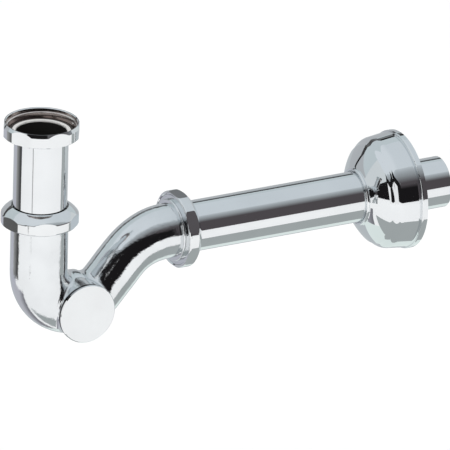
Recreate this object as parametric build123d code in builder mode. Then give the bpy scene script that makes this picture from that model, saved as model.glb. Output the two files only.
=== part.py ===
"""Tubular basin trap with a horizontal wall outlet: chromed brass, millimetres, +Z up.

The origin is the middle of the inlet nut's mouth. The waste water comes down along -Z, turns in the
cast bend, and leaves along +X to the wall. The cleaning plug faces -Y.
"""

import os
from math import cos, radians, sin

from build123d import *

os.makedirs("parts", exist_ok=True)

# Where the trap's main lines run
outlet_drop = 83.5  # inlet mouth down to the outlet axis
gland_rise = 31.0  # outlet axis up to the small end of the lower nut
bend_drop = 33.8  # outlet axis down to the middle of the bend's floor
floor_run = 2.2  # level stretch of the bend's floor
rise_angle = 48.0  # slope of the riser in degrees
crook_radius = 38.0  # centreline of the bend into the outlet
wall_plane_x = 238.0  # the finished wall, where the rosette's rim sits
tube_past_wall = 26.0  # outlet tube inside the wall

# Tubes
inlet_tube_od = 32.0
outlet_tube_od = inlet_tube_od - 2.0
tube_wall = 1.0
socket_gap = 0.15  # tube in the body's socket, on the radius
bush_gap = 0.08  # tube in its squeezed seal, on the radius
tube_edge = 0.25  # broken edge on a cut tube

# Nuts: turned round bodies with six milled flats
thread_over_tube = 4.955  # G 1 1/4 with a 32 mm tube: 20.955 over the crests of the outside thread
thread_radius = inlet_tube_od / 2 + thread_over_tube
thread_gap = 0.2  # plain bore to plain spigot where the thread runs, on the radius
mouth_chamfer = 0.45
nut_sides = 6
nut_wall = 0.945  # thread to flat
nut_corner = 1.0  # flat to round
nut_edge = 0.6
nut_flats = 2 * (thread_radius + nut_wall)
nut_round = nut_flats + 2 * nut_corner
lower_nut_turn = -18.5  # degrees, as the lower nut was left

# Inlet nut on the tube's flange
inlet_nut_height = 8.5
inlet_nut_land = thread_radius + 0.845
inlet_nut_bevel = 2.0
inlet_nut_shoulder = 1.0
inlet_nut_ease = 0.35  # nut's bore round the tube, on the radius
flange_radius = thread_radius - 1.955
flange_height = 0.8
flange_gap = 0.1
flange_corner = 0.4
washer_height = 0.9
washer_radius = thread_radius - 1.755
washer_ease = 0.2
washer_room = 0.35  # nut's recess round the washer, on the radius

# Gland: nut, slip ring and cone seal. Depths count from the nut's small end towards the body
gland_length = 11.2
gland_lip = 0.9  # nut's opening round the tube, on the radius
gland_shoulder_depth = 5.0
gland_shoulder_round = 1.2
gland_mouth_round = 1.3
gland_bulge = 0.4  # how far the shoulder swells out of a straight cone
gland_bulge_lean = 0.8  # share of the swell that goes outwards
gland_roof_depth = 2.6
gland_roof_radius = thread_radius - 1.655
gland_thread_depth = 5.0
slip_height = 0.9
slip_gap = 0.1
slip_radius = gland_roof_radius - 0.4
slip_ease = 0.25
seal_height = 4.2
seal_small_radius_over = 1.3  # seal's narrow end past the tube's radius
seal_gap = 0.08
neck_depth = 4.9  # end face of the body's neck
neck_mouth_wall = 1.4
neck_relief = 0.5
collar_radius = thread_radius - 2.355
collar_run = 2.4
collar_face = 1.8
collar_tip = 0.4
collar_round = 0.9
straight_lead = 6.0  # straight of the leg above the bend
straight_tail = 1.8  # straight of the outlet past the crook

# Cast body
bend_radius = inlet_tube_od / 2 + 7.5  # centreline of the U-bend
leg_wall = 0.75
bend_floor_radius = inlet_tube_od / 2 + 2.6
riser_radius = inlet_tube_od / 2 - 1.3
outlet_wall = 1.05
cast_wall = 2.1
stop_above_bend = 3.1  # inlet tube's stop above the end of the straight leg
inlet_tube_play = 10.0  # inlet tube's end above its stop
outlet_tube_reach = 1.0  # outlet tube past the nut's open end
bend_steps = 8  # sections along each stretch of the casting
climb_steps = 5
crook_steps = 5

# Cleaning plug
plug_x = bend_radius - 1.9
plug_radius = bend_floor_radius - 0.7
boss_radius = plug_radius - 0.5
boss_face = bend_floor_radius + 0.5  # from the plane of the bend
boss_blend = 2.0
plug_disc = 2.3
plug_edge = 0.5
plug_stem_radius = plug_radius - 4.7
plug_stem_length = 7.0
plug_stem_bore = plug_stem_radius - 2.7
plug_crown = 2.0
plug_seal_height = 0.6
plug_seal_radius = plug_radius - 0.9

# Rosette: pressed sheet, depths count back from the wall
rosette_radius = 35.0
rosette_sheet = 0.8
rosette_depth = 29.6  # wall to the middle of the rolled bead
rosette_bead = 1.0
rosette_bead_stand = 0.8  # how far the bead's middle stands in front of the dome
rosette_bead_step = 0.35  # dome's start outside the bead
rosette_ease = 0.15  # bead round the tube, on the radius
rosette_front_swell = 0.5  # how far the front of the dome bulges past a straight line
rosette_front_radius = rosette_radius - 5.8  # corner between the front and the valley
rosette_front_depth = 21.2
rosette_front_round = 4.0
rosette_valley_radius = rosette_radius - 4.7
rosette_valley_depth = 19.1
rosette_valley_round = 5.0
rosette_shoulder_radius = rosette_radius - 2.3
rosette_shoulder_depth = 16.8
rosette_shoulder_round = 6.5
rosette_inner_lean = 0.5  # share of the sheet taken along the axis on the inside of the dome
rosette_step_radius = rosette_radius - 0.9
rosette_step_depth = 5.3
rosette_groove = 1.0  # depth of the groove between dome and rim
rosette_groove_floor = 0.5  # width of its floor
rosette_rim = 3.5
rosette_rim_round = 0.9

# Lengths that follow from the above
inlet_tube_radius = inlet_tube_od / 2
outlet_tube_radius = outlet_tube_od / 2
outlet_z = -outlet_drop
floor_z = outlet_z - bend_drop
leg_radius = inlet_tube_radius + socket_gap + leg_wall
outlet_radius = outlet_tube_radius + socket_gap + outlet_wall
gland_z = outlet_z + gland_rise  # small end of the lower nut
bend_start_z = floor_z + bend_radius
rise = radians(rise_angle)
climb_x = bend_radius + floor_run  # where the climb starts
riser_start_x = climb_x + bend_radius * sin(rise)
riser_start_z = floor_z + bend_radius * (1 - cos(rise))
riser_end_z = outlet_z - crook_radius * (1 - cos(rise))
riser_length = (riser_end_z - riser_start_z) / sin(rise)
riser_end_x = riser_start_x + riser_length * cos(rise)
crook_end_x = riser_end_x + crook_radius * sin(rise)
outlet_nut_open_x = crook_end_x + straight_tail + collar_run
gland_x = outlet_nut_open_x + gland_length  # small end of the outlet nut
tube_end_x = wall_plane_x + tube_past_wall
washer_top = inlet_nut_height - inlet_nut_shoulder - flange_gap - flange_height - washer_height
neck_radius = thread_radius - thread_gap
outlet_tube_start_x = outlet_nut_open_x - outlet_tube_reach
lead_depth = gland_z - bend_start_z - straight_lead
tail_depth = gland_length + collar_run
inlet_stop_depth = lead_depth - stop_above_bend
inlet_tube_end_z = gland_z - inlet_stop_depth + inlet_tube_play

# Sketch planes of the two glands: x runs out from the axis, y from the small end towards the body.
# Revolved faces start and end in their sketch plane, so the outlet's seam is kept underneath
inlet_gland = Plane(origin=(0, 0, gland_z), x_dir=(1, 0, 0), z_dir=(0, 1, 0))
outlet_gland = Plane(origin=(gland_x, 0, outlet_z), x_dir=(0, 0, -1), z_dir=(0, 1, 0))
outlet_nut_plane = Plane(origin=(outlet_nut_open_x, 0, outlet_z), x_dir=(0, 1, 0), z_dir=(1, 0, 0))
inlet_axis = Axis((0, 0, 0), (0, 0, 1))
outlet_axis = Axis((0, 0, outlet_z), (1, 0, 0))
plug_axis = Axis((plug_x, 0, floor_z), (0, -1, 0))
plug_plane = Plane(origin=(plug_x, 0, floor_z), x_dir=(1, 0, 0), z_dir=(0, -1, 0))
plug_section = Plane(origin=(plug_x, 0, floor_z), x_dir=(1, 0, 0), z_dir=(0, 0, -1))


def gland_nut_section(tube_radius):
    """Half section of a gland nut with its domed shoulder towards the tube."""
    lip = tube_radius + gland_lip
    shoulder = (nut_round / 2, gland_shoulder_depth)
    mouth = (nut_round / 2, gland_length)
    swell_radius = (lip + nut_round / 2) / 2 + gland_bulge * gland_bulge_lean
    swell_depth = gland_shoulder_depth / 2 - gland_bulge
    with BuildSketch() as section:
        with BuildLine():
            dome = ThreePointArc((lip, 0), (swell_radius, swell_depth), shoulder)
            Polyline(
                dome @ 1,
                mouth,
                (thread_radius + mouth_chamfer, gland_length),
                (thread_radius, gland_length - mouth_chamfer),
                (thread_radius, gland_thread_depth),
                (gland_roof_radius, gland_roof_depth),
                (lip, gland_roof_depth),
                dome @ 0,
            )
        make_face()
        fillet(section.vertices().sort_by_distance((*shoulder, 0))[0], gland_shoulder_round)
        fillet(section.vertices().sort_by_distance((*mouth, 0))[0], gland_mouth_round)
    return section.sketch


def station(x, z, slope):
    """Plane across the waterway at a point, where slope is the angle of the flow below or above +X."""
    return Plane(origin=(x, 0, z), x_dir=(0, 1, 0), z_dir=(cos(slope), 0, sin(slope)))


def waterway():
    """Planes along the cast bend, each with its share of the way through leg, bend and riser."""
    out = []
    for share in (0.0, 0.5):
        out.append((station(0, bend_start_z + straight_lead * (1 - share), radians(-90)), "leg", share))
    for step in range(bend_steps + 1):
        turn = radians(-90 + 90 * step / bend_steps)
        x = bend_radius + bend_radius * sin(turn)
        z = bend_start_z - bend_radius * cos(turn)
        out.append((station(x, z, turn), "bend", step / bend_steps))
    for step in range(1, climb_steps + 1):
        turn = rise * step / climb_steps
        x = climb_x + bend_radius * sin(turn)
        z = floor_z + bend_radius * (1 - cos(turn))
        out.append((station(x, z, turn), "climb", step / climb_steps))
    mid_x = (riser_start_x + riser_end_x) / 2
    mid_z = (riser_start_z + riser_end_z) / 2
    out.append((station(mid_x, mid_z, rise), "riser", 0.5))
    for step in range(crook_steps + 1):
        turn = rise * (1 - step / crook_steps)
        x = crook_end_x - crook_radius * sin(turn)
        z = outlet_z - crook_radius * (1 - cos(turn))
        out.append((station(x, z, turn), "crook", step / crook_steps))
    for share in (0.5, 1.0):
        out.append((station(crook_end_x + straight_tail * share, outlet_z, 0), "outlet", share))
    return out


def smooth(share):
    """Share of a change that starts and ends gently."""
    return share * share * (3 - 2 * share)


def bend_size(where, share, leg, floor, riser, outlet):
    """Radius at a station between those of the leg, the bend's floor, the riser and the outlet."""
    if where == "leg":
        return leg
    if where == "bend":
        return leg + (floor - leg) * smooth(share)
    if where == "climb":
        return floor + (riser - floor) * smooth(share)
    if where == "riser":
        return riser
    if where == "crook":
        return riser + (outlet - riser) * smooth(share)
    return outlet


# Inlet nut: turned and milled brass, chromed, hung on the inlet tube's flange
with BuildPart() as inlet_nut:
    with BuildSketch(Plane.XY.offset(-inlet_nut_height)):
        RegularPolygon(nut_flats / 2, nut_sides, major_radius=False)
    extrude(amount=inlet_nut_height)
    with BuildSketch(Plane.XZ):
        with BuildLine():
            Polyline(
                (thread_radius + mouth_chamfer, 0),
                (inlet_nut_land, 0),
                (nut_round / 2, -inlet_nut_bevel),
                (nut_round / 2, -inlet_nut_height + nut_edge),
                (nut_round / 2 - nut_edge, -inlet_nut_height),
                (inlet_tube_radius + inlet_nut_ease, -inlet_nut_height),
                (inlet_tube_radius + inlet_nut_ease, -inlet_nut_height + inlet_nut_shoulder),
                (washer_radius + washer_room, -inlet_nut_height + inlet_nut_shoulder),
                (washer_radius + washer_room, -washer_top + flange_gap),
                (thread_radius, -washer_top + flange_gap),
                (thread_radius, -mouth_chamfer),
                close=True,
            )
        make_face()
    revolve(axis=inlet_axis, mode=Mode.INTERSECT)
inlet_nut.part.label = "inlet_nut"
export_step(inlet_nut.part, "parts/inlet_nut.step")

# Inlet washer: flat white seal lying on the flange
with BuildPart() as inlet_washer:
    with BuildSketch(Plane.XY.offset(-washer_top - washer_height)):
        Circle(washer_radius)
        Circle(inlet_tube_radius - tube_wall + washer_ease, mode=Mode.SUBTRACT)
    extrude(amount=washer_height)
inlet_washer.part.label = "inlet_washer"
export_step(inlet_washer.part, "parts/inlet_washer.step")

# Inlet tube: drawn tube with its upper end turned out into a flange
flange_top_z = -washer_top - washer_height
with BuildPart() as inlet_tube:
    with BuildSketch(Plane.XZ):
        with BuildLine():
            Polyline(
                (inlet_tube_radius - tube_wall, flange_top_z),
                (flange_radius, flange_top_z),
                (flange_radius, flange_top_z - flange_height),
                (inlet_tube_radius, flange_top_z - flange_height),
                (inlet_tube_radius, inlet_tube_end_z + tube_edge),
                (inlet_tube_radius - tube_edge, inlet_tube_end_z),
                (inlet_tube_radius - tube_wall, inlet_tube_end_z),
                close=True,
            )
        face = make_face()
        inner_corner = face.vertices().sort_by_distance((inlet_tube_radius - tube_wall, flange_top_z, 0))[0]
        fillet(inner_corner, flange_corner)
    revolve(axis=inlet_axis)
inlet_tube.part.label = "inlet_tube"
export_step(inlet_tube.part, "parts/inlet_tube.step")

# Lower nut: squeezes the cone seal round the inlet tube
with BuildPart() as inlet_gland_nut:
    with BuildSketch(Plane.XY.offset(gland_z - gland_length)):
        RegularPolygon(nut_flats / 2, nut_sides, major_radius=False, rotation=lower_nut_turn)
    extrude(amount=gland_length)
    with BuildSketch(inlet_gland):
        add(gland_nut_section(inlet_tube_radius))
    revolve(axis=inlet_axis, mode=Mode.INTERSECT)
inlet_gland_nut.part.label = "inlet_gland_nut"
export_step(inlet_gland_nut.part, "parts/inlet_gland_nut.step")

# Slip ring: hard plastic ring that lets the nut turn without dragging the seal
slip_depth = gland_roof_depth + slip_gap
with BuildPart() as inlet_slip_ring:
    with BuildSketch(Plane.XY.offset(gland_z - slip_depth - slip_height)):
        Circle(slip_radius)
        Circle(inlet_tube_radius + slip_ease, mode=Mode.SUBTRACT)
    extrude(amount=slip_height)
inlet_slip_ring.part.label = "inlet_slip_ring"
export_step(inlet_slip_ring.part, "parts/inlet_slip_ring.step")

# Cone seal: rubber wedge between the tube and the mouth of the neck
seal_depth = slip_depth + slip_height + seal_gap
with BuildPart() as inlet_cone_seal:
    with BuildSketch(inlet_gland):
        with BuildLine():
            Polyline(
                (inlet_tube_radius + bush_gap, seal_depth),
                (slip_radius, seal_depth),
                (slip_radius, neck_depth - seal_gap),
                (inlet_tube_radius + seal_small_radius_over, seal_depth + seal_height),
                (inlet_tube_radius + bush_gap, seal_depth + seal_height),
                close=True,
            )
        make_face()
    revolve(axis=inlet_axis)
inlet_cone_seal.part.label = "inlet_cone_seal"
export_step(inlet_cone_seal.part, "parts/inlet_cone_seal.step")

# Waterway inside the casting
bore_floor = bend_floor_radius - cast_wall
bore_riser = riser_radius - cast_wall
bore_leg = inlet_tube_radius - tube_wall
bore_outlet = outlet_tube_radius - tube_wall
with BuildPart() as water:
    for plane, where, share in waterway():
        with BuildSketch(plane):
            Circle(bend_size(where, share, bore_leg, bore_floor, bore_riser, bore_outlet))
    loft()

# Body: one brass casting, with a threaded neck at each end and a threaded boss for the plug
neck_run = gland_length - neck_relief
mouth_end = seal_depth + seal_height + seal_gap
with BuildPart() as trap_body:
    for plane, where, share in waterway():
        with BuildSketch(plane):
            Circle(bend_size(where, share, leg_radius, bend_floor_radius, riser_radius, outlet_radius))
    loft()
    with BuildSketch(plug_plane):
        Circle(boss_radius)
    extrude(amount=boss_face)
    fillet(trap_body.edges(Select.LAST).filter_by(GeomType.BSPLINE), boss_blend)
    for gland, axis, leg, end_depth in (
        (inlet_gland, inlet_axis, leg_radius, lead_depth),
        (outlet_gland, outlet_axis, outlet_radius, tail_depth),
    ):
        with BuildSketch(gland):
            with BuildLine():
                Polyline(
                    (0, neck_depth),
                    (neck_radius, neck_depth),
                    (neck_radius, neck_run),
                    (collar_radius, neck_run),
                    (collar_radius, gland_length + collar_face),
                    (leg, gland_length + collar_run - collar_tip),
                    (leg, end_depth),
                    (0, end_depth),
                    close=True,
                )
            collar = make_face()
            collar_corner = collar.vertices().sort_by_distance((collar_radius, gland_length + collar_face, 0))[0]
            fillet(collar_corner, collar_round)
        revolve(axis=axis)
    add(water.part, mode=Mode.SUBTRACT)
    for gland, axis, tube, stop_depth, bore, end_depth in (
        (inlet_gland, inlet_axis, inlet_tube_radius, inlet_stop_depth, bore_leg, lead_depth),
        (outlet_gland, outlet_axis, outlet_tube_radius, tail_depth - collar_tip, bore_outlet, tail_depth),
    ):
        with BuildSketch(gland):
            with BuildLine():
                Polyline(
                    (0, neck_depth),
                    (neck_radius - neck_mouth_wall, neck_depth),
                    (tube + seal_small_radius_over + 2 * seal_gap, mouth_end),
                    (tube + socket_gap, mouth_end),
                    (tube + socket_gap, stop_depth),
                    (bore, stop_depth),
                    (bore, end_depth),
                    (0, end_depth),
                    close=True,
                )
            make_face()
        revolve(axis=axis, mode=Mode.SUBTRACT)
    with BuildSketch(plug_plane):
        Circle(plug_stem_radius + socket_gap)
    extrude(amount=boss_face + plug_disc, mode=Mode.SUBTRACT)
trap_body.part.label = "trap_body"
export_step(trap_body.part, "parts/trap_body.step")

# Plug seal: flat rubber ring under the plug's disc
with BuildPart() as plug_seal:
    with BuildSketch(plug_plane.offset(boss_face)):
        Circle(plug_seal_radius)
        Circle(plug_stem_radius + 2 * socket_gap, mode=Mode.SUBTRACT)
    extrude(amount=plug_seal_height)
plug_seal.part.label = "plug_seal"
export_step(plug_seal.part, "parts/plug_seal.step")

# Cleaning plug: turned brass disc with a hollow threaded stem
disc_back = boss_face + plug_seal_height
disc_face = disc_back + plug_disc
with BuildPart() as cleaning_plug:
    with BuildSketch(plug_section):
        with BuildLine():
            Polyline(
                (0, disc_face),
                (plug_radius - plug_edge, disc_face),
                (plug_radius, disc_face - plug_edge),
                (plug_radius, disc_back),
                (plug_stem_radius, disc_back),
                (plug_stem_radius, disc_back - plug_stem_length + plug_edge),
                (plug_stem_radius - plug_edge, disc_back - plug_stem_length),
                (plug_stem_bore, disc_back - plug_stem_length),
                (plug_stem_bore, disc_face - plug_crown),
                (0, disc_face - plug_crown),
                close=True,
            )
        make_face()
    revolve(axis=plug_axis)
cleaning_plug.part.label = "cleaning_plug"
export_step(cleaning_plug.part, "parts/cleaning_plug.step")

# Outlet nut: the same gland nut on the outlet tube, with a flat facing up
with BuildPart() as outlet_gland_nut:
    with BuildSketch(outlet_nut_plane):
        RegularPolygon(nut_flats / 2, nut_sides, major_radius=False)
    extrude(amount=gland_length)
    with BuildSketch(outlet_gland):
        add(gland_nut_section(outlet_tube_radius))
    revolve(axis=outlet_axis, mode=Mode.INTERSECT)
outlet_gland_nut.part.label = "outlet_gland_nut"
export_step(outlet_gland_nut.part, "parts/outlet_gland_nut.step")

# Outlet slip ring
with BuildPart() as outlet_slip_ring:
    with BuildSketch(outlet_gland):
        with BuildLine():
            Polyline(
                (outlet_tube_radius + slip_ease, slip_depth),
                (slip_radius, slip_depth),
                (slip_radius, slip_depth + slip_height),
                (outlet_tube_radius + slip_ease, slip_depth + slip_height),
                close=True,
            )
        make_face()
    revolve(axis=outlet_axis)
outlet_slip_ring.part.label = "outlet_slip_ring"
export_step(outlet_slip_ring.part, "parts/outlet_slip_ring.step")

# Outlet cone seal
with BuildPart() as outlet_cone_seal:
    with BuildSketch(outlet_gland):
        with BuildLine():
            Polyline(
                (outlet_tube_radius + bush_gap, seal_depth),
                (slip_radius, seal_depth),
                (slip_radius, neck_depth - seal_gap),
                (outlet_tube_radius + seal_small_radius_over, seal_depth + seal_height),
                (outlet_tube_radius + bush_gap, seal_depth + seal_height),
                close=True,
            )
        make_face()
    revolve(axis=outlet_axis)
outlet_cone_seal.part.label = "outlet_cone_seal"
export_step(outlet_cone_seal.part, "parts/outlet_cone_seal.step")

# Outlet tube: plain drawn tube into the wall
with BuildPart() as outlet_tube:
    with BuildSketch(Plane.XZ):
        with BuildLine():
            Polyline(
                (outlet_tube_start_x, outlet_z - outlet_tube_radius + tube_wall),
                (outlet_tube_start_x, outlet_z - outlet_tube_radius + tube_edge),
                (outlet_tube_start_x + tube_edge, outlet_z - outlet_tube_radius),
                (tube_end_x - tube_edge, outlet_z - outlet_tube_radius),
                (tube_end_x, outlet_z - outlet_tube_radius + tube_edge),
                (tube_end_x, outlet_z - outlet_tube_radius + tube_wall),
                close=True,
            )
        make_face()
    revolve(axis=outlet_axis)
outlet_tube.part.label = "outlet_tube"
export_step(outlet_tube.part, "parts/outlet_tube.step")

# Rosette: pressed and chromed sheet that slides on the tube and covers the hole in the wall
bead_radius = outlet_tube_radius + rosette_ease + rosette_bead
rosette_plane = Plane(origin=(wall_plane_x, 0, outlet_z), x_dir=(0, 0, -1), z_dir=(0, 1, 0))
dome_start = (bead_radius + rosette_bead + rosette_bead_step, rosette_depth - rosette_bead_stand)
front = (rosette_front_radius, rosette_front_depth)
valley = (rosette_valley_radius, rosette_valley_depth)
shoulder = (rosette_shoulder_radius, rosette_shoulder_depth)
rim_step = (rosette_step_radius, rosette_step_depth)
groove_radius = rosette_step_radius - rosette_groove
groove_back = (rosette_step_depth + rosette_rim - rosette_groove_floor) / 2
groove_front = groove_back + rosette_groove_floor
inside = rosette_radius - rosette_sheet
rim_shoulder = (rosette_radius - rosette_rim_round, rosette_rim)
rim_side = (rosette_radius, rosette_rim - rosette_rim_round)
rim_middle = rosette_rim_round * (1 - sin(radians(45)))


def bulge(start, end, swell):
    """Middle of an arc that swells out of the straight line from start to end."""
    run = ((end[0] - start[0]) ** 2 + (end[1] - start[1]) ** 2) ** 0.5
    out_x = (start[1] - end[1]) / run
    out_y = (end[0] - start[0]) / run
    return ((start[0] + end[0]) / 2 + swell * out_x, (start[1] + end[1]) / 2 + swell * out_y)


def inner(point, shift):
    """A point of the dome moved in from the outer face."""
    return (point[0] - shift, point[1] - shift * rosette_inner_lean)


with BuildPart() as wall_rosette:
    with BuildSketch(rosette_plane) as dome:
        with BuildLine():
            ThreePointArc(dome_start, bulge(dome_start, front, rosette_front_swell), front)
            Polyline(
                front,
                valley,
                shoulder,
                rim_step,
                (groove_radius, groove_front),
                (groove_radius, groove_back),
                rim_shoulder,
            )
            ThreePointArc(rim_shoulder, (rosette_radius - rim_middle, rosette_rim - rim_middle), rim_side)
            Polyline(
                rim_side,
                (rosette_radius, 0),
                (inside, 0),
                (inside, rosette_rim - rosette_rim_round - rosette_sheet),
                (groove_radius - rosette_sheet, groove_back - rosette_sheet),
                (groove_radius - rosette_sheet, groove_front),
                inner(rim_step, rosette_sheet),
                inner(shoulder, rosette_sheet),
                inner(valley, rosette_sheet),
                inner(front, rosette_sheet),
            )
            ThreePointArc(
                inner(front, rosette_sheet),
                inner(bulge(dome_start, front, rosette_front_swell), rosette_sheet),
                (bead_radius, rosette_depth - rosette_bead),
            )
            Line((bead_radius, rosette_depth - rosette_bead), (bead_radius, rosette_depth))
            Line((bead_radius, rosette_depth), dome_start)
        make_face()
        for corner, rounding in (
            (front, rosette_front_round),
            (valley, rosette_valley_round),
            (shoulder, rosette_shoulder_round),
            (inner(front, rosette_sheet), rosette_front_round - rosette_sheet),
            (inner(valley, rosette_sheet), rosette_valley_round),
            (inner(shoulder, rosette_sheet), rosette_shoulder_round - rosette_sheet),
        ):
            fillet(dome.vertices().sort_by_distance((*corner, 0))[0], rounding)
        with Locations((bead_radius, rosette_depth)):
            Circle(rosette_bead)
    revolve(axis=outlet_axis)
wall_rosette.part.label = "wall_rosette"
export_step(wall_rosette.part, "parts/wall_rosette.step")
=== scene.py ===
"""Studio picture of a chromed tubular basin trap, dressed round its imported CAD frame.

Metres, +Z up. The origin is the middle of the inlet nut's mouth, +X runs along the outlet to the wall.
"""

from math import cos, pi, radians, sin

import bpy
from mathutils import Matrix, Vector


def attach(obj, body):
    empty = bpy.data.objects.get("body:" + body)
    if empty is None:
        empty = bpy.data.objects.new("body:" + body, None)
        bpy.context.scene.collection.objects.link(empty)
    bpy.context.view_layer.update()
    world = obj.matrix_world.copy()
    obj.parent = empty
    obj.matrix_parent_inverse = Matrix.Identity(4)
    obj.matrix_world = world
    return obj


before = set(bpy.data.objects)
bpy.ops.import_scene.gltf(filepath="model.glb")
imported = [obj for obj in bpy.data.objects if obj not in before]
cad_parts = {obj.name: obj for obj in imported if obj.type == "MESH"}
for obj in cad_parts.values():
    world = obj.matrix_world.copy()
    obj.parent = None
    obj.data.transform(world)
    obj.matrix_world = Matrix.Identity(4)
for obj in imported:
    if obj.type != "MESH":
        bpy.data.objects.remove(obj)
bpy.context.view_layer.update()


# Trap body: one hollow brass casting with a threaded neck at each end and a boss for the plug.
# It is ground and polished by hand before plating, so the chrome follows small waves left in the metal.
OUTLET_Z = -0.0835
GLAND_PITCH = 0.002309
LOWER_NECK = {"pitch": GLAND_PITCH, "start": -0.0632, "end": -0.0574, "root": 0.0198}
OUTLET_NECK = {"pitch": GLAND_PITCH, "start": 0.0882, "end": 0.0940, "root": 0.0198}
CAST_BRIGHT = (0.775, 0.797, 0.812, 1.0)
CAST_DULL = (0.725, 0.745, 0.76, 1.0)
CAST_PLATING = {"clear": 0.035, "hazy": 0.085, "patch_scale": 55.0, "grain_scale": 900.0}
CAST_WAVES = {"strength": 0.35, "depth": 0.0012}
CAST_PEEL = {"strength": 0.55, "depth": 0.00008}
NECK_THREADS = {"strength": 0.8, "depth": 0.0006}


def put(tree, kind, **values):
    """A node with its named inputs set to values, or linked where a value is another node's socket."""
    node = tree.nodes.new(kind)
    for name, value in values.items():
        if hasattr(node, name):
            setattr(node, name, value)
            continue
        socket = node.inputs[int(name[1:])] if name[1:].isdigit() else node.inputs[name.replace("_", " ")]
        if isinstance(value, bpy.types.NodeSocket):
            tree.links.new(value, socket)
        else:
            socket.default_value = value
    return node


def sum_of(tree, operation, first, second=0.0):
    """Result socket of one arithmetic step."""
    return put(tree, "ShaderNodeMath", operation=operation, _0=first, _1=second).outputs[0]


def mix_of(tree, share, first, second):
    """Socket with a colour that goes from first to second as share goes from 0 to 1."""
    return put(tree, "ShaderNodeMix", data_type="RGBA", _0=share, _6=first, _7=second).outputs[2]


def axes_of(tree, place):
    """The X, Y and Z sockets of a position."""
    return put(tree, "ShaderNodeSeparateXYZ", Vector=place).outputs


def reach_of(tree, side_a, side_b):
    """Socket with the distance from an axis, from the two coordinates square to it."""
    square_a = sum_of(tree, "MULTIPLY", side_a, side_a)
    square_b = sum_of(tree, "MULTIPLY", side_b, side_b)
    return sum_of(tree, "SQRT", sum_of(tree, "ADD", square_a, square_b))


def new_group(name, inputs, outputs):
    """Empty shader node group with named sockets, and its two end nodes."""
    group = bpy.data.node_groups.new(name, "ShaderNodeTree")
    for label, kind in inputs:
        group.interface.new_socket(label, in_out="INPUT", socket_type=kind)
    for label, kind in outputs:
        group.interface.new_socket(label, in_out="OUTPUT", socket_type=kind)
    return group, group.nodes.new("NodeGroupInput"), group.nodes.new("NodeGroupOutput")


NUMBER = "NodeSocketFloat"
COLOUR = "NodeSocketColor"
VECTOR = "NodeSocketVector"

# Plating: slow patches of tone and haze, and a fine grain, over any chromed surface
PATCH_NOISE = {"Detail": 3.0, "Roughness": 0.5}
GRAIN_NOISE = {"Detail": 4.0, "Roughness": 0.6}
PATCH_SPREAD = {"From_Min": 0.35, "From_Max": 0.65}
FULL_HAZE = 0.6
plating, taken, given = new_group(
    "Plating",
    (("Position", VECTOR), ("Patch Scale", NUMBER), ("Grain Scale", NUMBER),
     ("Bright", COLOUR), ("Dull", COLOUR), ("Clear Roughness", NUMBER), ("Hazy Roughness", NUMBER)),
    (("Tone", COLOUR), ("Roughness", NUMBER), ("Patch", NUMBER), ("Grain", NUMBER)),
)
patch = put(plating, "ShaderNodeTexNoise", Vector=taken.outputs["Position"],
            Scale=taken.outputs["Patch Scale"], **PATCH_NOISE)
grain = put(plating, "ShaderNodeTexNoise", Vector=taken.outputs["Position"],
            Scale=taken.outputs["Grain Scale"], **GRAIN_NOISE)
spread = put(plating, "ShaderNodeMapRange", Value=patch.outputs["Fac"], **PATCH_SPREAD)
tone = mix_of(plating, spread.outputs[0], taken.outputs["Bright"], taken.outputs["Dull"])
haze = sum_of(plating, "MULTIPLY", spread.outputs[0], grain.outputs["Fac"])
shine = put(plating, "ShaderNodeMapRange", Value=haze, From_Max=FULL_HAZE,
            To_Min=taken.outputs["Clear Roughness"], To_Max=taken.outputs["Hazy Roughness"])
plating.links.new(tone, given.inputs["Tone"])
plating.links.new(shine.outputs[0], given.inputs["Roughness"])
plating.links.new(patch.outputs["Fac"], given.inputs["Patch"])
plating.links.new(grain.outputs["Fac"], given.inputs["Grain"])

# Thread: a winding wave between two places along an axis, outside a given radius
thread, taken, given = new_group(
    "Thread",
    (("Along", NUMBER), ("Side A", NUMBER), ("Side B", NUMBER), ("Pitch", NUMBER),
     ("Start", NUMBER), ("End", NUMBER), ("Root Radius", NUMBER)),
    (("Height", NUMBER),),
)
angle = sum_of(thread, "ARCTAN2", taken.outputs["Side A"], taken.outputs["Side B"])
turns = sum_of(thread, "DIVIDE", taken.outputs["Along"], taken.outputs["Pitch"])
phase = sum_of(thread, "ADD", sum_of(thread, "MULTIPLY", turns, 2 * pi), angle)
wave = sum_of(thread, "SINE", phase)
reach = reach_of(thread, taken.outputs["Side A"], taken.outputs["Side B"])
outside = sum_of(thread, "GREATER_THAN", reach, taken.outputs["Root Radius"])
after = sum_of(thread, "GREATER_THAN", taken.outputs["Along"], taken.outputs["Start"])
before = sum_of(thread, "LESS_THAN", taken.outputs["Along"], taken.outputs["End"])
zone = sum_of(thread, "MULTIPLY", sum_of(thread, "MULTIPLY", after, before), outside)
thread.links.new(sum_of(thread, "MULTIPLY", wave, zone), given.inputs["Height"])


def thread_on(tree, along, side_a, side_b, pitch, start, end, root):
    """Height socket of a thread that winds round one axis."""
    return put(tree, "ShaderNodeGroup", node_tree=thread, Along=along, Side_A=side_a, Side_B=side_b,
               Pitch=pitch, Start=start, End=end, Root_Radius=root).outputs["Height"]


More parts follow.
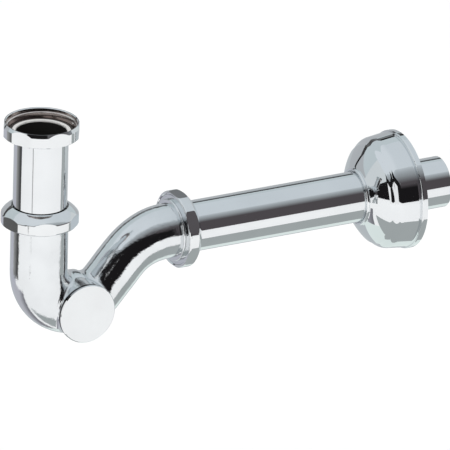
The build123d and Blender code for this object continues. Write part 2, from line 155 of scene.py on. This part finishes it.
def chrome(name, bright, dull, clear, hazy, patch_scale, grain_scale):
    """Chrome-plated metal. Returns the material, its shader, its plating group and its Object coordinates."""
    material = bpy.data.materials.new(name)
    material.use_nodes = True
    tree = material.node_tree
    shader = tree.nodes["Principled BSDF"]
    shader.inputs["Metallic"].default_value = 1.0
    place = put(tree, "ShaderNodeTexCoord").outputs["Object"]
    plate = put(tree, "ShaderNodeGroup", node_tree=plating, Position=place, Patch_Scale=patch_scale,
                Grain_Scale=grain_scale, Bright=bright, Dull=dull, Clear_Roughness=clear, Hazy_Roughness=hazy)
    tree.links.new(plate.outputs["Tone"], shader.inputs["Base Color"])
    tree.links.new(plate.outputs["Roughness"], shader.inputs["Roughness"])
    return material, shader, plate, place


def wavy(tree, height, strength, depth, normal=None):
    """Normal socket of a bump made from a height socket. depth is in metres."""
    bump = put(tree, "ShaderNodeBump", Height=height, Strength=strength, Distance=depth)
    if normal is not None:
        tree.links.new(normal, bump.inputs["Normal"])
    return bump.outputs["Normal"]


def wear(node, material):
    """Gives a CAD node its material."""
    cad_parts[node].data.materials.clear()
    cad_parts[node].data.materials.append(material)


cast_chrome, shader, plate, place = chrome("cast_chrome", CAST_BRIGHT, CAST_DULL, **CAST_PLATING)
tree = cast_chrome.node_tree
at = axes_of(tree, place)
lower_thread = thread_on(tree, at["Z"], at["Y"], at["X"], **LOWER_NECK)
outlet_level = sum_of(tree, "SUBTRACT", at["Z"], OUTLET_Z)
outlet_thread = thread_on(tree, at["X"], outlet_level, at["Y"], **OUTLET_NECK)
threads = sum_of(tree, "ADD", lower_thread, outlet_thread)
waves = wavy(tree, plate.outputs["Patch"], **CAST_WAVES)
peel = wavy(tree, plate.outputs["Grain"], **CAST_PEEL, normal=waves)
tree.links.new(wavy(tree, threads, **NECK_THREADS, normal=peel), shader.inputs["Normal"])
wear("trap_body", cast_chrome)


# Cone seals and the plug's flat ring: black rubber, moulded, pushed over the tube or stem by hand.
# The moulds leave the rubber matt, and talc from packing dusts it a little.
RUBBER_DARK = (0.018, 0.018, 0.019, 1.0)
RUBBER_DUSTY = (0.06, 0.06, 0.058, 1.0)
RUBBER_SKIN = {"rough_low": 0.55, "rough_high": 0.8, "scale": 700.0, "depth": 0.0001}
MOTTLE_NOISE = {"Detail": 5.0, "Roughness": 0.6}
SKIN_STRENGTH = 0.3


def matt(name, low, high, rough_low, rough_high, scale, depth):
    """Soft or hard plastic or rubber with a mottled tone and a fine moulded skin."""
    material = bpy.data.materials.new(name)
    material.use_nodes = True
    tree = material.node_tree
    shader = tree.nodes["Principled BSDF"]
    place = put(tree, "ShaderNodeTexCoord").outputs["Object"]
    mottle = put(tree, "ShaderNodeTexNoise", Vector=place, Scale=scale, **MOTTLE_NOISE).outputs["Fac"]
    rough = put(tree, "ShaderNodeMapRange", Value=mottle, To_Min=rough_low, To_Max=rough_high)
    tree.links.new(mix_of(tree, mottle, low, high), shader.inputs["Base Color"])
    tree.links.new(rough.outputs[0], shader.inputs["Roughness"])
    tree.links.new(wavy(tree, mottle, SKIN_STRENGTH, depth), shader.inputs["Normal"])
    return material


rubber = matt("black_rubber", RUBBER_DARK, RUBBER_DUSTY, **RUBBER_SKIN)
for node in ("inlet_cone_seal", "outlet_cone_seal", "plug_seal"):
    wear(node, rubber)


# Slip rings: hard white plastic rings that lie between nut and seal.
# They are moulded thin and flat, and stay behind their nuts.
SLIP_LOW = (0.70, 0.70, 0.68, 1.0)
SLIP_HIGH = (0.82, 0.82, 0.80, 1.0)
SLIP_SKIN = {"rough_low": 0.3, "rough_high": 0.45, "scale": 400.0, "depth": 0.00005}
slip_plastic = matt("slip_plastic", SLIP_LOW, SLIP_HIGH, **SLIP_SKIN)
for node in ("inlet_slip_ring", "outlet_slip_ring"):
    wear(node, slip_plastic)


# Inlet and outlet tubes: brass tube, drawn, cut to length, polished and plated on the outside.
# The bore is left as drawn, so it is dull and dark, and the outside keeps faint lines along the tube.
TUBE_BRIGHT = (0.785, 0.805, 0.82, 1.0)
TUBE_DULL = (0.755, 0.775, 0.79, 1.0)
TUBE_PLATING = {"clear": 0.025, "hazy": 0.055, "patch_scale": 40.0, "grain_scale": 1200.0}
BORE_DARK = (0.012, 0.011, 0.010, 1.0)
BORE_ROUGH = 0.6
INLET_TUBE = {"along": 2, "level": 0.0, "bore": 0.0155}
OUTLET_TUBE = {"along": 0, "level": OUTLET_Z, "bore": 0.0145}
DRAWN_NOISE = {"Scale": 2600.0, "Detail": 2.0}
DRAWN_STRETCH = 0.01
DRAWN_LINES = {"strength": 0.04, "depth": 0.00003}


def bare_inside(tree, shader, plate, inside, tone, rough):
    """Gives the part of a plated surface that lies inside a bore its own tone and roughness."""
    dull = put(tree, "ShaderNodeMapRange", Value=inside, To_Min=plate.outputs["Roughness"], To_Max=rough)
    tree.links.new(mix_of(tree, inside, plate.outputs["Tone"], tone), shader.inputs["Base Color"])
    tree.links.new(dull.outputs[0], shader.inputs["Roughness"])


def tube_chrome(name, along, level, bore):
    """Plated tube with a bare, dark bore. along is the index of its axis, level the height of that axis."""
    material, shader, plate, place = chrome(name, TUBE_BRIGHT, TUBE_DULL, **TUBE_PLATING)
    tree = material.node_tree
    side_a, side_b = [axis for i, axis in enumerate(axes_of(tree, place)) if i != along]
    reach = reach_of(tree, side_a, sum_of(tree, "SUBTRACT", side_b, level))
    inside = sum_of(tree, "LESS_THAN", reach, bore)
    bare_inside(tree, shader, plate, inside, BORE_DARK, BORE_ROUGH)
    stretch = [DRAWN_STRETCH if i == along else 1.0 for i in range(3)]
    pulled = put(tree, "ShaderNodeMapping", Vector=place, Scale=stretch)
    lines = put(tree, "ShaderNodeTexNoise", Vector=pulled.outputs[0], **DRAWN_NOISE)
    tree.links.new(sum_of(tree, "SUBTRACT", 1.0, inside), shader.inputs["Metallic"])
    tree.links.new(wavy(tree, lines.outputs["Fac"], **DRAWN_LINES), shader.inputs["Normal"])
    return material


wear("inlet_tube", tube_chrome("inlet_tube_chrome", **INLET_TUBE))
wear("outlet_tube", tube_chrome("outlet_tube_chrome", **OUTLET_TUBE))


# Nuts: turned from brass bar with six milled flats, polished and plated; they screw on by hand or spanner.
# The inlet nut hangs on the tube's flange, and the two gland nuts squeeze the cone seals.
NUT_BRIGHT = (0.79, 0.81, 0.82, 1.0)
NUT_DULL = (0.76, 0.775, 0.785, 1.0)
NUT_PLATING = {"clear": 0.03, "hazy": 0.07, "patch_scale": 70.0, "grain_scale": 1500.0}
NUT_GRAIN = {"strength": 0.05, "depth": 0.00004}
turned_chrome, shader, plate, place = chrome("turned_chrome", NUT_BRIGHT, NUT_DULL, **NUT_PLATING)
tree = turned_chrome.node_tree
tree.links.new(wavy(tree, plate.outputs["Grain"], **NUT_GRAIN), shader.inputs["Normal"])
for node in ("inlet_gland_nut", "outlet_gland_nut"):
    wear(node, turned_chrome)

# The inlet nut's inside is cut after polishing and takes little plating, so it stays a dull brownish metal
NUT_BORE = 0.0210
NUT_BORE_TONE = (0.48, 0.42, 0.40, 1.0)
NUT_BORE_ROUGH = 0.2
inlet_chrome, shader, plate, place = chrome("inlet_nut_chrome", NUT_BRIGHT, NUT_DULL, **NUT_PLATING)
tree = inlet_chrome.node_tree
at = axes_of(tree, place)
inside = sum_of(tree, "LESS_THAN", reach_of(tree, at["X"], at["Y"]), NUT_BORE)
bare_inside(tree, shader, plate, inside, NUT_BORE_TONE, NUT_BORE_ROUGH)
tree.links.new(wavy(tree, plate.outputs["Grain"], **NUT_GRAIN), shader.inputs["Normal"])
wear("inlet_nut", inlet_chrome)

# The thread cut inside the inlet nut: a ridge that winds up its bore and fades out at both ends
THREAD_SIZES = {
    "Bore Radius": 0.020955,
    "Turns": 1.5,
    "Pitch": GLAND_PITCH,
    "Ridge Depth": 0.0012,
    "Ridge Width": 0.0019,
    "Crest Width": 0.0003,
    "Root": 0.0003,
    "Base": -0.0046,
}
STEPS_PER_TURN = 96
FADE_LENGTH = 0.08
FADE_LEAST = 0.05
THREAD_BRIGHT = (0.80, 0.74, 0.71, 1.0)
THREAD_DULL = (0.58, 0.52, 0.49, 1.0)
THREAD_PLATING = {"clear": 0.12, "hazy": 0.28, "patch_scale": 120.0, "grain_scale": 1800.0}
ridge_tree = bpy.data.node_groups.new("Thread Ridge", "GeometryNodeTree")
ridge_tree.interface.new_socket("Geometry", in_out="OUTPUT", socket_type="NodeSocketGeometry")
socket_of = {}
for label, value in THREAD_SIZES.items():
    entry = ridge_tree.interface.new_socket(label, in_out="INPUT", socket_type=NUMBER)
    entry.default_value = value
    socket_of[label] = entry.identifier
entry = ridge_tree.interface.new_socket("Metal", in_out="INPUT", socket_type="NodeSocketMaterial")
socket_of["Metal"] = entry.identifier
size = ridge_tree.nodes.new("NodeGroupInput").outputs
rise = sum_of(ridge_tree, "MULTIPLY", size["Turns"], size["Pitch"])
coil = put(ridge_tree, "GeometryNodeCurveSpiral", Resolution=STEPS_PER_TURN, Rotations=size["Turns"],
           Start_Radius=size["Bore Radius"], End_Radius=size["Bore Radius"], Height=rise)
upright = put(ridge_tree, "GeometryNodeSetCurveNormal", mode="Z_UP", Curve=coil.outputs[0])
where = put(ridge_tree, "GeometryNodeSplineParameter").outputs["Factor"]
from_end = sum_of(ridge_tree, "MINIMUM", where, sum_of(ridge_tree, "SUBTRACT", 1.0, where))
fade = put(ridge_tree, "ShaderNodeMapRange", Value=from_end, From_Max=FADE_LENGTH, To_Min=FADE_LEAST)
tapered = put(ridge_tree, "GeometryNodeSetCurveRadius", Curve=upright.outputs[0], Radius=fade.outputs[0])


def corner(inwards, across):
    """Point of the ridge's section: in from the bore's wall, and across the ridge."""
    return put(ridge_tree, "ShaderNodeCombineXYZ", X=inwards, Y=across).outputs[0]


rooted = sum_of(ridge_tree, "MULTIPLY", size["Root"], -1.0)
half_width = sum_of(ridge_tree, "MULTIPLY", size["Ridge Width"], 0.5)
half_crest = sum_of(ridge_tree, "MULTIPLY", size["Crest Width"], 0.5)
section = put(ridge_tree, "GeometryNodeCurvePrimitiveQuadrilateral", mode="POINTS",
              Point_1=corner(rooted, half_width),
              Point_2=corner(size["Ridge Depth"], half_crest),
              Point_3=corner(size["Ridge Depth"], sum_of(ridge_tree, "MULTIPLY", half_crest, -1.0)),
              Point_4=corner(rooted, sum_of(ridge_tree, "MULTIPLY", half_width, -1.0)))
swept = put(ridge_tree, "GeometryNodeCurveToMesh", Curve=tapered.outputs[0],
            Profile_Curve=section.outputs[0], Fill_Caps=True)
lifted = put(ridge_tree, "GeometryNodeTransform", Geometry=swept.outputs[0],
             Translation=put(ridge_tree, "ShaderNodeCombineXYZ", Z=size["Base"]).outputs[0])
real = put(ridge_tree, "GeometryNodeRealizeInstances", Geometry=lifted.outputs[0])
painted = put(ridge_tree, "GeometryNodeSetMaterial", Geometry=real.outputs[0], Material=size["Metal"])
ridge_tree.links.new(painted.outputs[0], ridge_tree.nodes.new("NodeGroupOutput").inputs["Geometry"])

inlet_thread = bpy.data.objects.new("inlet_thread", bpy.data.meshes.new("inlet_thread"))
bpy.context.scene.collection.objects.link(inlet_thread)
winding = inlet_thread.modifiers.new("winding", "NODES")
winding.node_group = ridge_tree
for label, value in THREAD_SIZES.items():
    winding[socket_of[label]] = value
winding[socket_of["Metal"]] = chrome("thread_metal", THREAD_BRIGHT, THREAD_DULL, **THREAD_PLATING)[0]
graph = bpy.context.evaluated_depsgraph_get()
inlet_thread.data = bpy.data.meshes.new_from_object(inlet_thread.evaluated_get(graph))
inlet_thread.modifiers.clear()
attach(inlet_thread, "top_nut")


# Inlet washer: soft white plastic, stamped flat; the basin's waste presses on it.
# It lies loose on the tube's flange and shows as a white ring deep in the nut.
# Its outer edge is painted dark, as painted shade where the nut's thread overhangs it.
WASHER_LOW = (0.86, 0.86, 0.84, 1.0)
WASHER_HIGH = (0.95, 0.95, 0.94, 1.0)
WASHER_SKIN = {"rough_low": 0.4, "rough_high": 0.55, "scale": 350.0, "depth": 0.00006}
WASHER_SHADE_TONE = (0.05, 0.042, 0.038, 1.0)
WASHER_LIT_RADIUS = 0.0173
white_washer = matt("white_washer", WASHER_LOW, WASHER_HIGH, **WASHER_SKIN)
tree = white_washer.node_tree
skin = tree.nodes["Principled BSDF"].inputs["Base Color"]
at = axes_of(tree, put(tree, "ShaderNodeTexCoord").outputs["Object"])
# Outside this radius the washer's colour turns to painted shade, the shade under the nut's thread
washer_shade_mask = sum_of(tree, "GREATER_THAN", reach_of(tree, at["X"], at["Y"]), WASHER_LIT_RADIUS)
tree.links.new(mix_of(tree, washer_shade_mask, skin.links[0].from_socket, WASHER_SHADE_TONE), skin)
wear("inlet_washer", white_washer)


# Cleaning plug: turned brass disc on a threaded stem, its face polished flat and plated.
# It screws into the boss against the rubber ring. Its rim behind the face is painted dark, as painted shade
# of the gap against the boss.
PLUG_AXIS_X = 0.0216
PLUG_AXIS_Z = -0.1173
PLUG_STEM = {"pitch": 0.001814, "start": -0.0192, "end": -0.0131, "root": 0.0120}
PLUG_PLATING = {"clear": 0.03, "hazy": 0.075, "patch_scale": 45.0, "grain_scale": 1500.0}
PLUG_SWELL = {"strength": 0.10, "depth": 0.0004}
PLUG_THREAD = {"strength": 0.8, "depth": 0.0005}
PLUG_RIM_RADIUS = 0.0177
PLUG_RIM_FRONT = -0.02145
PLUG_RIM_SHADE = (0.06, 0.06, 0.064, 1.0)
plug_chrome, shader, plate, place = chrome("plug_chrome", NUT_BRIGHT, NUT_DULL, **PLUG_PLATING)
tree = plug_chrome.node_tree
at = axes_of(tree, place)
side = sum_of(tree, "SUBTRACT", at["X"], PLUG_AXIS_X)
level = sum_of(tree, "SUBTRACT", at["Z"], PLUG_AXIS_Z)
# The rim behind the plug's face is painted dark: painted shade of the gap between plug and boss
outer = sum_of(tree, "GREATER_THAN", reach_of(tree, side, level), PLUG_RIM_RADIUS)
shaded_rim = sum_of(tree, "MULTIPLY", outer, sum_of(tree, "GREATER_THAN", at["Y"], PLUG_RIM_FRONT))
tree.links.new(mix_of(tree, shaded_rim, plate.outputs["Tone"], PLUG_RIM_SHADE), shader.inputs["Base Color"])
stem = thread_on(tree, at["Y"], side, level, **PLUG_STEM)
swell = wavy(tree, plate.outputs["Patch"], **PLUG_SWELL)
tree.links.new(wavy(tree, stem, **PLUG_THREAD, normal=swell), shader.inputs["Normal"])
wear("cleaning_plug", plug_chrome)


# Wall rosette: brass sheet, spun and pressed into a stepped dome, polished and plated.
# Its rolled bead grips the tube lightly, so it slides along to the wall and covers the hole there.
SHEET_BRIGHT = (0.785, 0.805, 0.82, 1.0)
SHEET_DULL = (0.755, 0.775, 0.79, 1.0)
SHEET_PLATING = {"clear": 0.025, "hazy": 0.06, "patch_scale": 35.0, "grain_scale": 1300.0}
SPUN_STRETCH = (1.0, 0.02, 0.02)
SPUN_NOISE = {"Scale": 1500.0, "Detail": 2.0}
SPUN_RINGS = {"strength": 0.03, "depth": 0.00003}
sheet_chrome, shader, plate, place = chrome("sheet_chrome", SHEET_BRIGHT, SHEET_DULL, **SHEET_PLATING)
tree = sheet_chrome.node_tree
spun = put(tree, "ShaderNodeMapping", Vector=place, Scale=SPUN_STRETCH)
rings = put(tree, "ShaderNodeTexNoise", Vector=spun.outputs[0], **SPUN_NOISE)
tree.links.new(wavy(tree, rings.outputs["Fac"], **SPUN_RINGS), shader.inputs["Normal"])
wear("wall_rosette", sheet_chrome)


# Floor: a pale sheet well below the hung trap, which takes its shadow and is clear from below.
# Camera, mirror and glass rays see it a little lighter, so that it meets the white background.
FLOOR_Z = -0.30
FLOOR_REACH = 8.0
FLOOR_TONE = (0.82, 0.82, 0.82, 1.0)
FLOOR_LIFT = 0.32


def sees_background(tree):
    """1 for camera, mirror and glass rays, 0 for rays that carry light to surfaces."""
    path = put(tree, "ShaderNodeLightPath").outputs
    seen = sum_of(tree, "MAXIMUM", path["Is Camera Ray"], path["Is Glossy Ray"])
    return sum_of(tree, "MAXIMUM", seen, path["Is Transmission Ray"])


def bare_material(name):
    """New material with an output and nothing else."""
    material = bpy.data.materials.new(name)
    material.use_nodes = True
    material.node_tree.nodes.remove(material.node_tree.nodes["Principled BSDF"])
    return material


def flat_card(name, corners, material):
    """One staged four-cornered sheet."""
    mesh = bpy.data.meshes.new(name)
    mesh.from_pydata(corners, [], [(0, 1, 2, 3)])
    mesh.materials.append(material)
    card = bpy.data.objects.new(name, mesh)
    bpy.context.scene.collection.objects.link(card)
    return card


floor_paint = bare_material("pale_floor")
tree = floor_paint.node_tree
matt_floor = put(tree, "ShaderNodeBsdfDiffuse", Color=FLOOR_TONE)
lifted_by = sum_of(tree, "MULTIPLY", sees_background(tree), FLOOR_LIFT)
lift = put(tree, "ShaderNodeEmission", Strength=lifted_by)
both = put(tree, "ShaderNodeAddShader", _0=matt_floor.outputs[0], _1=lift.outputs[0])
clear = put(tree, "ShaderNodeBsdfTransparent")
from_below = put(tree, "ShaderNodeNewGeometry").outputs["Backfacing"]
one_sided = put(tree, "ShaderNodeMixShader", _0=from_below, _1=both.outputs[0], _2=clear.outputs[0])
tree.links.new(one_sided.outputs[0], tree.nodes["Material Output"].inputs["Surface"])
flat_card("floor", [(-FLOOR_REACH, -FLOOR_REACH, FLOOR_Z), (FLOOR_REACH, -FLOOR_REACH, FLOOR_Z),
                    (FLOOR_REACH, FLOOR_REACH, FLOOR_Z), (-FLOOR_REACH, FLOOR_REACH, FLOOR_Z)], floor_paint)


# Studio room: cards that only mirrors see, because polished chrome looks like the room round it.
# The room is dark on the camera's side and pale overhead and behind, with dark lines on its back wall.
# Strips just above the floor stand for what the trap hangs over.
ROOM_FRONT = -1.0
ROOM_FAR = -1.02
ROOM_BACK = 1.5
ROOM_LEFT = -2.5
ROOM_RIGHT = 3.5
ROOM_WIDTH = (ROOM_LEFT, ROOM_RIGHT)
ROOM_BLACK = (0.012, 0.011, 0.012, 1.0)
ROOM_DARK = (0.088, 0.078, 0.084, 1.0)
ROOM_DIM = (0.30, 0.32, 0.335, 1.0)
ROOM_PALE = (0.58, 0.63, 0.665, 1.0)
CEILING_LEFT = (0.75, 0.80, 0.84, 1.0)
CEILING_RIGHT = (0.675, 0.73, 0.77, 1.0)
BACK_LOW = (0.50, 0.52, 0.54, 1.0)
BACK_HIGH = (0.605, 0.675, 0.70, 1.0)
STRIP_GREY = (0.42, 0.45, 0.45, 1.0)
STRIP_PALE = (0.84, 0.925, 0.90, 1.0)
SHADE_DARK = (0.21, 0.21, 0.23, 1.0)
SHADE_PALE = (0.53, 0.53, 0.58, 1.0)
BACK_FLOOR_LEFT = (0.53, 0.54, 0.60, 1.0)
BACK_FLOOR_RIGHT = (0.54, 0.575, 0.595, 1.0)
SPLIT_LEFT = 0.1
SPLIT_RIGHT = 0.53
DARK_FOOT = -0.16
DARK_MIDDLE_TOP = 0.50
DARK_TOP = 0.60
DIM_TOP = 1.0
CEILING_Z = 1.9
LEFT_WALL = -1.4
LEFT_WALL_FOOT = -0.27
LEFT_WALL_TOP = 1.36
LEFT_WALL_STEP = -0.4
BACK_STEP = 0.45
LINE_Y = 1.44
LINE_EDGE_Y = 1.43
LINE_LEFT = -0.60
STRIP_LIFT = 0.004
STRIP_Z = FLOOR_Z + STRIP_LIFT
STRIP_SEAM_X = 0.03
STRIP_SEAM_Y = 0.02
BACK_FLOOR_Y = 0.15
SHADE_BACK_Y = 0.28


def grey(value, tint=0.0):
    """Grey with a little blue."""
    return (value * (1 - tint), value * (1 - tint / 2), value, 1.0)


def mirror_card(name, corners, glow, fade_to=None, along="Z", span=None):
    """Card that only mirrors see. Where it fades, its glow turns into another over a span along one axis."""
    material = bare_material(name)
    tree = material.node_tree
    light = put(tree, "ShaderNodeEmission", Color=glow, Strength=1.0)
    if fade_to is not None:
        at = axes_of(tree, put(tree, "ShaderNodeTexCoord").outputs["Object"])
        share = put(tree, "ShaderNodeMapRange", Value=at[along], From_Min=span[0], From_Max=span[1])
        tree.links.new(mix_of(tree, share.outputs[0], glow, fade_to), light.inputs["Color"])
    tree.links.new(light.outputs[0], tree.nodes["Material Output"].inputs["Surface"])
    card = flat_card(name, corners, material)
    card.visible_camera = False
    card.visible_diffuse = False
    card.visible_transmission = False
    card.visible_volume_scatter = False
    card.visible_shadow = False


def ends(measure):
    """The two ends of a measure that is one number or two."""
    return measure if isinstance(measure, tuple) else (measure, measure)


def upright_card(name, x, y, foot, top, glow, **fade):
    """Standing card. Each measure is one number, or two where its ends differ."""
    (x0, x1), (y0, y1), (foot0, foot1), (top0, top1) = ends(x), ends(y), ends(foot), ends(top)
    corners = [(x0, y0, foot0), (x1, y1, foot1), (x1, y1, top1), (x0, y0, top0)]
    mirror_card(name, corners, glow, **fade)


def lying_card(name, left, right, near, far, z, glow, **fade):
    """Level card. left is one number, or two where that edge slants from near to far."""
    near_left, far_left = ends(left)
    corners = [(near_left, near, z), (right, near, z), (right, far, z), (far_left, far, z)]
    mirror_card(name, corners, glow, **fade)


upright_card("dark_room_left", x=(LEFT_WALL, SPLIT_LEFT), y=ROOM_FRONT, foot=DARK_FOOT,
             top=(LEFT_WALL_TOP, 0.55), glow=ROOM_BLACK)
upright_card("dark_room_middle", x=(SPLIT_LEFT, SPLIT_RIGHT), y=ROOM_FRONT, foot=DARK_FOOT,
             top=DARK_MIDDLE_TOP, glow=ROOM_BLACK, fade_to=ROOM_DARK, span=(0.34, DARK_MIDDLE_TOP))
upright_card("dark_room_right", x=(SPLIT_LEFT, ROOM_RIGHT), y=ROOM_FAR, foot=DARK_FOOT, top=DARK_TOP,
             glow=ROOM_DARK)
upright_card("dim_room", x=ROOM_WIDTH, y=ROOM_FAR, foot=DARK_TOP, top=DIM_TOP,
             glow=ROOM_DARK, fade_to=ROOM_DIM, span=(DARK_TOP, DIM_TOP))
upright_card("pale_room", x=ROOM_WIDTH, y=ROOM_FAR, foot=DIM_TOP, top=CEILING_Z,
             glow=ROOM_DIM, fade_to=ROOM_PALE, span=(DIM_TOP, CEILING_Z))
upright_card("left_wall_front", x=LEFT_WALL, y=(ROOM_FRONT, LEFT_WALL_STEP), foot=LEFT_WALL_FOOT,
             top=LEFT_WALL_TOP, glow=ROOM_BLACK)
upright_card("left_wall_back", x=LEFT_WALL, y=(LEFT_WALL_STEP, 0.45), foot=LEFT_WALL_FOOT,
             top=(0.54, -0.05), glow=ROOM_BLACK)
upright_card("left_screen", x=(-0.66, -1.10), y=(-0.97, -0.52), foot=FLOOR_Z, top=0.50, glow=grey(1.0))
lying_card("ceiling", left=ROOM_LEFT, right=ROOM_RIGHT, near=ROOM_FRONT, far=ROOM_BACK, z=CEILING_Z,
           glow=CEILING_LEFT, fade_to=CEILING_RIGHT, along="X", span=(-0.3, 0.9))
upright_card("back_low", x=ROOM_WIDTH, y=ROOM_BACK, foot=FLOOR_Z, top=BACK_STEP, glow=BACK_LOW)
upright_card("back_high", x=ROOM_WIDTH, y=ROOM_BACK, foot=BACK_STEP, top=CEILING_Z, glow=BACK_HIGH)
upright_card("back_line_left", x=(LINE_LEFT, 0.0), y=LINE_Y, foot=(0.20, 0.42), top=(0.40, 0.78),
             glow=grey(0.05), fade_to=grey(0.10), along="X", span=(-0.4, 0.0))
upright_card("back_line_right", x=(0.0, 1.2), y=LINE_Y, foot=(0.42, 0.54), top=(0.78, 1.02),
             glow=grey(0.10), fade_to=grey(0.22, tint=0.08), along="X", span=(0.0, 0.7))
upright_card("back_line_edge", x=(0.55, 1.25), y=LINE_EDGE_Y, foot=(0.72, 0.79), top=(0.89, 1.03),
             glow=grey(0.02))
lying_card("under_strip", left=(0.12, -0.12), right=ROOM_RIGHT, near=-0.23, far=STRIP_SEAM_Y, z=STRIP_Z,
           glow=STRIP_GREY)
lying_card("near_back_strip", left=STRIP_SEAM_X, right=ROOM_RIGHT, near=STRIP_SEAM_Y, far=BACK_FLOOR_Y,
           z=STRIP_Z, glow=STRIP_PALE)
lying_card("back_floor_near", left=-0.25, right=STRIP_SEAM_X, near=0.055, far=SHADE_BACK_Y, z=STRIP_Z,
           glow=SHADE_DARK, fade_to=SHADE_PALE, along="Y", span=(0.06, 0.16))
lying_card("back_floor_left", left=ROOM_LEFT, right=0.0, near=SHADE_BACK_Y, far=ROOM_BACK, z=STRIP_Z,
           glow=BACK_FLOOR_LEFT)
lying_card("back_floor_right", left=0.0, right=ROOM_RIGHT, near=BACK_FLOOR_Y, far=ROOM_BACK, z=STRIP_Z,
           glow=BACK_FLOOR_RIGHT)
upright_card("back_post", x=(LINE_LEFT, -0.46), y=LINE_Y, foot=FLOOR_Z, top=0.25, glow=grey(0.02))
upright_card("left_flag", x=(-0.405, -0.24), y=(0.19, 0.40), foot=FLOOR_Z, top=-0.14,
             glow=grey(0.07), fade_to=grey(0.42), along="X", span=(-0.37, -0.24))
upright_card("left_stand", x=(-0.537, -0.513), y=(-0.283, -0.317), foot=FLOOR_Z, top=0.1, glow=grey(0.45))


# Light: one large soft lamp from the front left and a white room that lights evenly from all sides.
# Mirrors see the white room a little darker and cooler than the camera does.
LAMP_POWER = 14.0
LAMP_SIZE = 2.0
LAMP_PLACE = Vector((-0.6, -1.2, 1.7))
LAMP_AIM = Vector((0.1, 0.0, -0.08))
SKY_WHITE = (1.0, 1.0, 1.0, 1.0)
SKY_COOL = (0.93, 0.98, 1.0, 1.0)
SKY_SEEN = 1.0
SKY_MIRRORED = 0.78
SKY_LIGHT = 0.75
lamp_data = bpy.data.lights.new("soft_lamp", "AREA")
lamp_data.energy = LAMP_POWER
lamp_data.size = LAMP_SIZE
lamp = bpy.data.objects.new("soft_lamp", lamp_data)
lamp.location = LAMP_PLACE
lamp.rotation_euler = (LAMP_AIM - LAMP_PLACE).to_track_quat("-Z", "Y").to_euler()
lamp.visible_glossy = False
bpy.context.scene.collection.objects.link(lamp)

world = bpy.data.worlds.new("white_room")
bpy.context.scene.world = world
world.use_nodes = True
tree = world.node_tree
path = put(tree, "ShaderNodeLightPath").outputs
mirrored = put(tree, "ShaderNodeMix", data_type="FLOAT", _0=path["Is Glossy Ray"],
               _2=SKY_LIGHT, _3=SKY_MIRRORED)
seen = put(tree, "ShaderNodeMix", data_type="FLOAT", _0=path["Is Camera Ray"],
           _2=mirrored.outputs[0], _3=SKY_SEEN)
sky = tree.nodes["Background"]
tree.links.new(seen.outputs[0], sky.inputs["Strength"])
tree.links.new(mix_of(tree, path["Is Glossy Ray"], SKY_WHITE, SKY_COOL), sky.inputs["Color"])


# Camera: a parallel view from the left and above, tipped a little, as in the photograph.
# Its frame's centre is given in metres to the right of the origin and up from it, in the view.
AZIMUTH = radians(-28.0)
ELEVATION = radians(22.33)
ROLL = radians(1.2)
FRAME_WIDTH = 0.26256
CENTRE_RIGHT = 0.10820
CENTRE_UP = -0.05831
STAND_OFF = 1.5
FAR_CLIP = 50.0
right = Vector((cos(AZIMUTH), sin(AZIMUTH), 0.0))
back = Vector((sin(AZIMUTH) * cos(ELEVATION), -cos(AZIMUTH) * cos(ELEVATION), sin(ELEVATION)))
up = back.cross(right)
rolled_right = right * cos(ROLL) + up * sin(ROLL)
rolled_up = up * cos(ROLL) - right * sin(ROLL)
camera_data = bpy.data.cameras.new("camera")
camera_data.type = "ORTHO"
camera_data.ortho_scale = FRAME_WIDTH
camera_data.clip_end = FAR_CLIP
camera = bpy.data.objects.new("camera", camera_data)
turn = Matrix((rolled_right, rolled_up, back)).transposed().to_4x4()
camera.matrix_world = Matrix.Translation(right * CENTRE_RIGHT + up * CENTRE_UP + back * STAND_OFF) @ turn
bpy.context.scene.collection.objects.link(camera)
bpy.context.scene.camera = camera
bpy.context.scene.view_settings.view_transform = "Standard"
